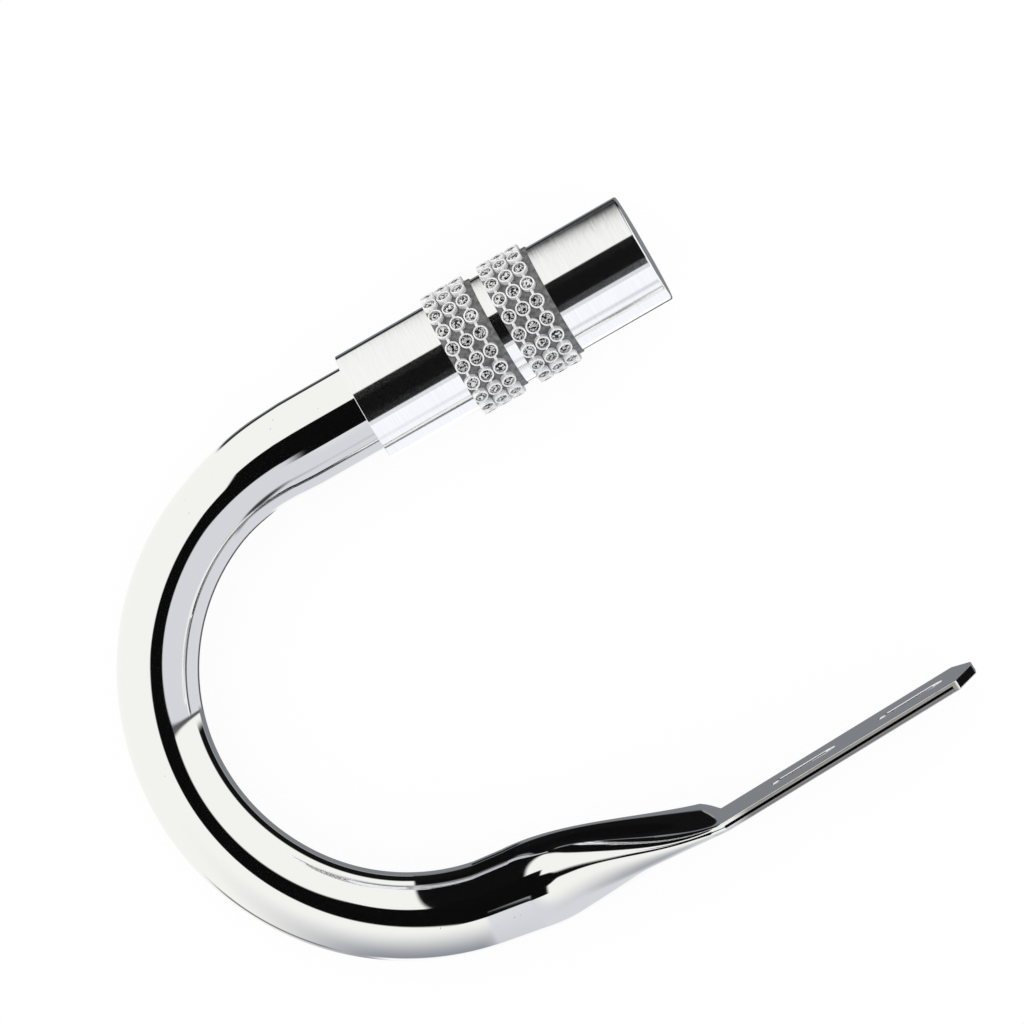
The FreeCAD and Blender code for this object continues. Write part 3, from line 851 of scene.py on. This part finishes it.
def link_mesh(band, step_angle, radius):
    """A small rounded link from one cup to the next round the band."""
    half = band.link / 2
    reach = radius * math.sin(step_angle / 2)
    rings = []
    for across in (-1.0, 1.0):
        ring = []
        for angle in np.linspace(0, math.pi, LINK_POINTS):
            ring.append((half * math.cos(angle), across * reach, half * math.sin(angle)))
        rings.append(np.array(ring))
    return skin("link", rings)


def crown_mesh(band):
    """The crystal's glass: a brilliant crown over a flat back."""
    girdle = band.stone / 2 * CROWN_FIT
    floor = band.cup_height - band.stone_height
    levels = [
        (girdle * reach, floor + rise * band.stone_height, sides, shift)
        for reach, rise, sides, shift in CROWN_LEVELS
    ]
    reach, sides = CROWN_TABLE
    levels.append((girdle * reach, band.cup_height, sides, 0.0))
    solid = bmesh.new()
    for radius, z, sides, shift in levels:
        for side in range(sides):
            angle = 2 * math.pi * (side + shift) / sides
            solid.verts.new((radius * math.cos(angle), radius * math.sin(angle), z))
    bmesh.ops.convex_hull(solid, input=solid.verts)
    bmesh.ops.dissolve_limit(
        solid, angle_limit=math.radians(1), verts=solid.verts, edges=solid.edges
    )
    mesh = bpy.data.meshes.new("crown")
    solid.to_mesh(mesh)
    solid.free()
    return mesh


def foil_mesh(band):
    """The faceted silvering inside a crystal, point down."""
    girdle = band.stone / 2 * FOIL_FIT
    floor = band.cup_height - band.stone_height
    rim = floor + FOIL_RIM * band.stone_height
    ring = girdle * FOIL_RING[0]
    ring_height = floor + FOIL_RING[1] * (rim - floor)
    points = []
    for side in range(16):
        angle = 2 * math.pi * side / 16
        points.append((girdle * math.cos(angle), girdle * math.sin(angle), rim))
    for side in range(8):
        angle = 2 * math.pi * (side + 0.5) / 8
        points.append((ring * math.cos(angle), ring * math.sin(angle), ring_height))
    points.append((0, 0, floor + FOIL_POINT * (rim - floor)))
    faces = []
    for side in range(8):
        first = 2 * side
        middle = (first + 1) % 16
        last = (first + 2) % 16
        here = 16 + side
        after = 16 + (side + 1) % 8
        faces.append((first, middle, here))
        faces.append((middle, last, here))
        faces.append((last, after, here))
        faces.append((here, after, 24))
    return mesh_of("foil", points, faces)


class HOLDBACK_OT_tube(bpy.types.Operator):
    """Skin the bent tube, press its plate, punch the slots and plate it with chrome"""

    bl_idname = "holdback.tube"
    bl_label = "Hook tube"

    def execute(self, context):
        tube = sizes_of("tube")
        path = TubePath(tube)
        rings = path.rings()
        item = new_object("chrome_hook", skin("chrome_hook", rings))
        half_width = float(rings[-1][:, 2].max())
        for side, name in ((-1, "outer_slot"), (1, "inner_slot")):
            cut(item, slot_cutter(name, side * tube.slot_spacing / 2, tube, path.plate))
        cut(item, tip_cutter("cut_tip", tube, path.plate, half_width))
        smooth(item.data, METAL_SHARP)
        weigh_normals(item)
        dress(item, "chrome_tube", "hook_tube", chrome_finish(sizes_of("finishes").chrome))
        return {"FINISHED"}


class HOLDBACK_OT_sleeve(bpy.types.Operator):
    """Turn the finial sleeve with rounded ends and brush it"""

    bl_idname = "holdback.sleeve"
    bl_label = "Finial sleeve"

    def execute(self, context):
        sleeve = sizes_of("sleeve")
        outer = sleeve.diameter / 2
        inner = outer - sleeve.wall
        far = sleeve.length
        edge = sleeve.edge
        lip = MOUTH_LIP * edge
        profile = [(inner, lip), (inner + lip, 0)]
        profile += arc((outer - lip, lip), lip, -90, 0, MOUTH_POINTS)
        profile += arc((outer - edge, far - edge), edge, 0, 90, END_POINTS)
        profile += [(0, far), (0, far - sleeve.end), (inner, far - sleeve.end)]
        mesh = turned("brushed_barrel", profile, SLEEVE_SEGMENTS)
        item = new_object("brushed_barrel", mesh)
        smooth(mesh, METAL_SHARP)
        weigh_normals(item)
        item.matrix_world = sleeve_place(TubePath(sizes_of("tube")))
        dress(
            item, "brushed_sleeve", "finial_sleeve", brushed_finish(sizes_of("finishes").brushed)
        )
        return {"FINISHED"}


class HOLDBACK_OT_bush(bpy.types.Operator):
    """Give the moulded bush its plastic"""

    bl_idname = "holdback.bush"
    bl_label = "Adaptor bush"

    def execute(self, context):
        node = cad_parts["adaptor_bush"]
        node.data.materials.clear()
        node.data.materials.append(plain_finish("moulded_bush", sizes_of("finishes").bush, 0.45))
        return {"FINISHED"}


class HOLDBACK_OT_bands(bpy.types.Operator):
    """Wrap the sleeve in two bands of crystals in silvered cups"""

    bl_idname = "holdback.bands"
    bl_label = "Crystal bands"

    def execute(self, context):
        band = sizes_of("band")
        finishes = sizes_of("finishes")
        path = TubePath(sizes_of("tube"))
        strip_finish = plain_finish("satin_strip", finishes.strip, 0.5, blotched=0.5)
        silver = setting_finish(finishes.setting)
        glass = crystal_finish(finishes.crystal)
        foil = foil_finish(finishes.foil)
        radius = sizes_of("sleeve").diameter / 2
        edge = band.strip * STRIP_EDGE
        outer = radius + band.strip
        profile = [(radius, 0)] + arc((outer - edge, edge), edge, -90, 0, STRIP_EDGE_POINTS)
        profile += arc((outer - edge, band.width - edge), edge, 0, 90, STRIP_EDGE_POINTS)
        profile.append((radius, band.width))
        cup = cup_mesh(band)
        crown = crown_mesh(band)
        silvering = foil_mesh(band)
        step_angle = 2 * math.pi / band.round
        link = link_mesh(band, step_angle, outer)
        half_step = Matrix.Rotation(step_angle / 2, 4, "Z")
        for number, name in enumerate(BANDS):
            place = sleeve_place(path, band.first + number * (band.width + band.gap))
            cups = seats(band)
            between = [half_step @ seat for seat in cups]
            backing = turned(name + "_backing", profile, STRIP_SEGMENTS)
            strip = new_object(name + "_backing", backing)
            smooth(strip.data, STRIP_SHARP)
            strip.matrix_world = place
            dress(strip, "band_strip", name + "_strip", strip_finish)
            pieces = [(cup, seat, 0) for seat in cups] + [(link, seat, 0) for seat in between]
            setting = new_object(name + "_cups", joined(name + "_cups", pieces))
            smooth(setting.data, CUP_SHARP)
            setting.matrix_world = place
            dress(setting, "band_setting", name + "_setting", silver)
            pieces = [(crown, seat, 0) for seat in cups] + [(silvering, seat, 1) for seat in cups]
            stones = new_object(name + "_stones", joined(name + "_stones", pieces))
            stones.matrix_world = place
            dress(stones, "crystal", name + "_crystals", glass, foil)
        return {"FINISHED"}


# The camera as it was fitted to the photograph: how it leans from the hook's normal towards
# -X and -Y, how it is turned, where it looks and how far off it stands.
VIEW_LEAN_X = math.radians(3.46)
VIEW_LEAN_Y = math.radians(3.52)
VIEW_TURN = math.radians(31.69)
VIEW_TARGET = Vector((0.0421, -0.0909, 0))
VIEW_DISTANCE = 2.321
PIXELS_PER_METRE = 4184.0
FAR_CLIP = 20.0

# The white card beside the sleeve: its power and size, and its middle from the sleeve's mouth.
CARD_POWER = 1.7
CARD_SIZE = (2.0, 1.03)
CARD_PLACE = Vector((-0.04, 0.3, -0.086))
# The soft lamp: its power, size and place.
LAMP_POWER = 4.0
LAMP_SIZE = 1.6
LAMP_PLACE = (0.3, -0.6, 1.4)
# The floor: half its width, its gap under the object and how much of it takes a shadow.
FLOOR_HALF = 4.0
FLOOR_GAP = 0.0002
FLOOR_SHADOW = 0.1


def view_axes():
    """The camera's back, right and up directions."""
    back = Vector((-math.tan(VIEW_LEAN_X), -math.tan(VIEW_LEAN_Y), 1)).normalized()
    right = Vector((-math.cos(VIEW_TURN), math.sin(VIEW_TURN), 0))
    right = (right - back * right.dot(back)).normalized()
    return back, right, back.cross(right)


# Panels and flags of the studio as a mirror ball at the object shows them: the ball's face
# runs from -1 to 1 across and up. A panel is bounded by lines, each an angle to its outward
# side in degrees, a distance from the ball's middle and a softness. A spot is an ellipse, with
# its middle, half sizes, turn and softness. A rim is a part of a ring: it fades in between its
# first two radii, out between its last two, and ends at its lines.
PANELS = (
    ("lower haze", (0.24, 0.26, 0.31), ((90, -0.66, 0.75), (180, 0.32, 0.5))),
    ("right panel", (0.70, 0.71, 0.755), ((104, -0.087, 0.01), (197, 0.012, 0.1))),
    ("seam", 0.10, ((104, -0.081, 0.008), (284, 0.096, 0.008), (180, -0.26, 0.04))),
    ("window edge", 0.004, ((0, -0.055, 0.014), (209.8, 0.015, 0.02), (270, -0.06, 0.05))),
    ("lens", 0.003, ((180, 0.205, 0.025), (135, 0.19, 0.02), (100, 0.215, 0.02),
                     (45, 0.198, 0.04), (0, 0.285, 0.02), (303, 0.178, 0.02),
                     (270, 0.15, 0.02), (240, 0.17, 0.02))),
    ("boom", 0.003, ((30, 0.06, 0.02), (210, 0.088, 0.012), (120, 0.28, 0.012),
                     (300, 0.0, 0.012))),
    ("boom foot", 0.003, ((30, -0.03, 0.03), (210, 0.13, 0.02), (120, 0.05, 0.012),
                          (300, 0.265, 0.012))),
)
SPOTS = (
    ("stand", 0.05, (0.42, -0.56), (0.14, 0.035), -8, 0.5),
)
RIMS = (
    ("soft ring", 0.30, (0.69, 0.72, 0.74, 0.77), ((0, 0.2, 0.3), (197.5, 0.09, 0.04),
                                                  (270, 0.0, 0.1))),
    ("fine light", 1.0, (0.735, 0.745, 0.755, 0.76), ((104, -0.10, 0.02), (210, 0.03, 0.04),
                                                     (180, -0.33, 0.03))),
    ("fine shade", 0.10, (0.76, 0.765, 0.785, 0.80), ((104, -0.10, 0.02), (210, 0.03, 0.04),
                                                     (180, -0.33, 0.03))),
    ("right edge", 0.10, (0.972, 0.985, 2.0, 2.1), ((104, -0.07, 0.02), (180, -0.2, 0.05))),
    ("black rim", 0.006, (0.83, 0.85, 0.925, 0.945), ((285, 0.05, 0.06), (197.5, 0.09, 0.04))),
    ("grey rim", (0.21, 0.22, 0.24), (0.925, 0.945, 2.0, 2.1), ((285, 0.12, 0.04),
                                                               (225, 0.0, 0.05))),
    ("outer line", 0.01, (0.94, 0.945, 0.968, 0.975), ((225, 0.0, 0.05), (17.5, -0.09, 0.04))),
    ("low line", 0.22, (0.925, 0.94, 0.955, 0.97), ((0, -0.25, 0.1), (180, 0.62, 0.1),
                                                    (90, -0.6, 0.1))),
    ("low light", 1.0, (0.94, 0.96, 2.0, 2.1), ((90, -0.72, 0.1), (180, 0.12, 0.1),
                                                (0, 0.52, 0.05))),
)


def panel_mask(nodes, across, up, lines):
    """1 on the inner side of every line, 0 outside."""
    mask = None
    for angle, distance, soft in lines:
        turn = math.radians(angle)
        here = nodes.maths(
            "ADD", nodes.maths("MULTIPLY", across, math.cos(turn)),
            nodes.maths("MULTIPLY", up, math.sin(turn)),
        )
        side = nodes.step(here, distance + soft / 2, distance - soft / 2)
        mask = side if mask is None else nodes.maths("MULTIPLY", mask, side)
    return mask


def spot_mask(nodes, across, up, centre, radii, angle, soft):
    """1 inside an ellipse, 0 outside."""
    turn = math.radians(angle)
    x = nodes.maths("SUBTRACT", across, centre[0])
    y = nodes.maths("SUBTRACT", up, centre[1])
    along = nodes.maths(
        "ADD", nodes.maths("MULTIPLY", x, math.cos(turn) / radii[0]),
        nodes.maths("MULTIPLY", y, math.sin(turn) / radii[0]),
    )
    aside = nodes.maths(
        "SUBTRACT", nodes.maths("MULTIPLY", y, math.cos(turn) / radii[1]),
        nodes.maths("MULTIPLY", x, math.sin(turn) / radii[1]),
    )
    squares = nodes.maths(
        "ADD", nodes.maths("MULTIPLY", along, along), nodes.maths("MULTIPLY", aside, aside)
    )
    return nodes.step(nodes.maths("SQRT", squares), 1 + soft, 1 - soft)


def studio_world(finishes):
    """White to the camera, and a studio of panels and flags to what is polished."""
    world = bpy.data.worlds.new("studio")
    world.use_nodes = True
    bpy.context.scene.world = world
    nodes = Nodes(world.node_tree)
    back, right, up_axis = view_axes()
    direction = nodes.add("ShaderNodeTexCoord").outputs["Generated"]
    half = nodes.vector("NORMALIZE", nodes.vector("ADD", direction, tuple(back)))
    across = nodes.vector("DOT_PRODUCT", half, tuple(right), output=1)
    up = nodes.vector("DOT_PRODUCT", half, tuple(up_axis), output=1)
    radius = nodes.maths("SQRT", nodes.maths(
        "ADD", nodes.maths("MULTIPLY", across, across), nodes.maths("MULTIPLY", up, up)
    ))
    picture = rgba(tuple(finishes.studio))
    for _, tone, lines in PANELS:
        picture = nodes.mix(panel_mask(nodes, across, up, lines), picture, rgba(tone))
    for _, tone, centre, radii, angle, soft in SPOTS:
        mask = spot_mask(nodes, across, up, centre, radii, angle, soft)
        picture = nodes.mix(mask, picture, rgba(tone))
    for _, tone, ring, lines in RIMS:
        mask = nodes.maths(
            "MULTIPLY", nodes.step(radius, ring[0], ring[1]), nodes.step(radius, ring[3], ring[2])
        )
        mask = nodes.maths("MULTIPLY", mask, panel_mask(nodes, across, up, lines))
        picture = nodes.mix(mask, picture, rgba(tone))
    light = nodes.add("ShaderNodeLightPath")
    polished = nodes.maths(
        "MAXIMUM", light.outputs["Is Glossy Ray"], light.outputs["Is Transmission Ray"]
    )
    seen = nodes.mix(polished, rgba(tuple(finishes.background)), picture)
    sky = nodes.add("ShaderNodeBackground", {"Color": seen, "Strength": 1.0})
    nodes.add("ShaderNodeOutputWorld", {"Surface": sky.outputs[0]})


class HOLDBACK_OT_stage(bpy.types.Operator):
    """Set the floor, the light and the camera"""

    bl_idname = "holdback.stage"
    bl_label = "Stage"

    def execute(self, context):
        scene = context.scene
        finishes = sizes_of("finishes")
        scene.view_settings.view_transform = "Standard"
        studio_world(finishes)
        self.lay_floor(finishes)
        self.hang_lamp()
        self.hang_card()
        self.place_camera(scene)
        return {"FINISHED"}

    def lay_floor(self, finishes):
        """A white floor under the object, which polished surfaces see the studio through."""
        half = FLOOR_HALF
        level = cad_box[0][2] - FLOOR_GAP
        corners = [
            (-half, -half, level), (half, -half, level), (half, half, level), (-half, half, level)
        ]
        floor = new_object("floor", mesh_of("floor", corners, [(0, 1, 2, 3)]))
        material, nodes = finish("white_floor")
        tone = rgba(tuple(finishes.background))
        matt = nodes.add("ShaderNodeBsdfDiffuse", {"Color": tone})
        glow = nodes.add("ShaderNodeEmission", {"Color": tone, "Strength": 1.0})
        clear = nodes.add("ShaderNodeBsdfTransparent")
        light = nodes.add("ShaderNodeLightPath")
        lit = nodes.add(
            "ShaderNodeMixShader", {0: FLOOR_SHADOW, 1: glow.outputs[0], 2: matt.outputs[0]}
        )
        polished = nodes.maths(
            "MAXIMUM", light.outputs["Is Glossy Ray"], light.outputs["Is Transmission Ray"]
        )
        whole = nodes.add(
            "ShaderNodeMixShader", {0: polished, 1: lit.outputs[0], 2: clear.outputs[0]}
        )
        nodes.add("ShaderNodeOutputMaterial", {"Surface": whole.outputs[0]})
        floor.data.materials.append(material)

    def hang_lamp(self):
        """One large soft lamp that polished surfaces don't show."""
        lamp = bpy.data.lights.new("soft_lamp", "AREA")
        lamp.size = LAMP_SIZE
        lamp.energy = LAMP_POWER
        item = new_object("soft_lamp", lamp)
        item.location = LAMP_PLACE
        item.rotation_euler = (VIEW_TARGET - item.location).to_track_quat("-Z", "Y").to_euler()
        item.visible_glossy = False
        item.visible_transmission = False

    def hang_card(self):
        """A white card on the wall's side that only the brushed sleeve shows."""
        card = bpy.data.lights.new("sleeve_card", "AREA")
        card.shape = "RECTANGLE"
        card.size, card.size_y = CARD_SIZE
        card.energy = CARD_POWER
        item = new_object("sleeve_card", card)
        item.location = TubePath(sizes_of("tube")).mouth + CARD_PLACE
        item.rotation_euler = (math.pi / 2, 0, math.pi)
        item.visible_camera = False
        item.visible_transmission = False
        shown = bpy.data.collections.new("card_receivers")
        shown.objects.link(bpy.data.objects["brushed_barrel"])
        item.light_linking.receiver_collection = shown

    def place_camera(self, scene):
        camera = bpy.data.cameras.new("photo_camera")
        camera.sensor_width = SENSOR
        camera.lens = PIXELS_PER_METRE * VIEW_DISTANCE * SENSOR / PHOTO_PIXELS
        camera.clip_end = FAR_CLIP
        item = new_object("photo_camera", camera)
        back, right, up = view_axes()
        item.matrix_world = Matrix.Translation(VIEW_TARGET + back * VIEW_DISTANCE) @ Matrix(
            (right, up, back)
        ).transposed().to_4x4()
        scene.camera = item


class Holdback(bpy.types.PropertyGroup):
    """Everything that a user may change."""

    tube: bpy.props.PointerProperty(type=TubeSizes)
    sleeve: bpy.props.PointerProperty(type=SleeveSizes)
    band: bpy.props.PointerProperty(type=BandSizes)
    finishes: bpy.props.PointerProperty(type=Finishes)


OPERATORS = (
    HOLDBACK_OT_tube,
    HOLDBACK_OT_sleeve,
    HOLDBACK_OT_bush,
    HOLDBACK_OT_bands,
    HOLDBACK_OT_stage,
)


class HOLDBACK_PT_panel(bpy.types.Panel):
    """Sizes, colours and steps of the holdback"""

    bl_idname = "HOLDBACK_PT_panel"
    bl_label = "Curtain holdback"
    bl_space_type = "VIEW_3D"
    bl_region_type = "UI"
    bl_category = "Holdback"

    def draw(self, context):
        for operator in OPERATORS:
            self.layout.operator(operator.bl_idname)
        for group in ("tube", "sleeve", "band", "finishes"):
            box = self.layout.box()
            held = sizes_of(group)
            for name in held.__annotations__:
                box.prop(held, name)


CLASSES = (TubeSizes, SleeveSizes, BandSizes, Finishes, Holdback, *OPERATORS, HOLDBACK_PT_panel)


def register():
    for kind in CLASSES:
        bpy.utils.register_class(kind)
    bpy.types.Scene.holdback = bpy.props.PointerProperty(type=Holdback)


def unregister():
    del bpy.types.Scene.holdback
    for kind in reversed(CLASSES):
        bpy.utils.unregister_class(kind)


def main():
    register()
    bpy.ops.holdback.tube()
    bpy.ops.holdback.sleeve()
    bpy.ops.holdback.bush()
    bpy.ops.holdback.bands()
    bpy.ops.holdback.stage()


if __name__ == "__main__":
    main()
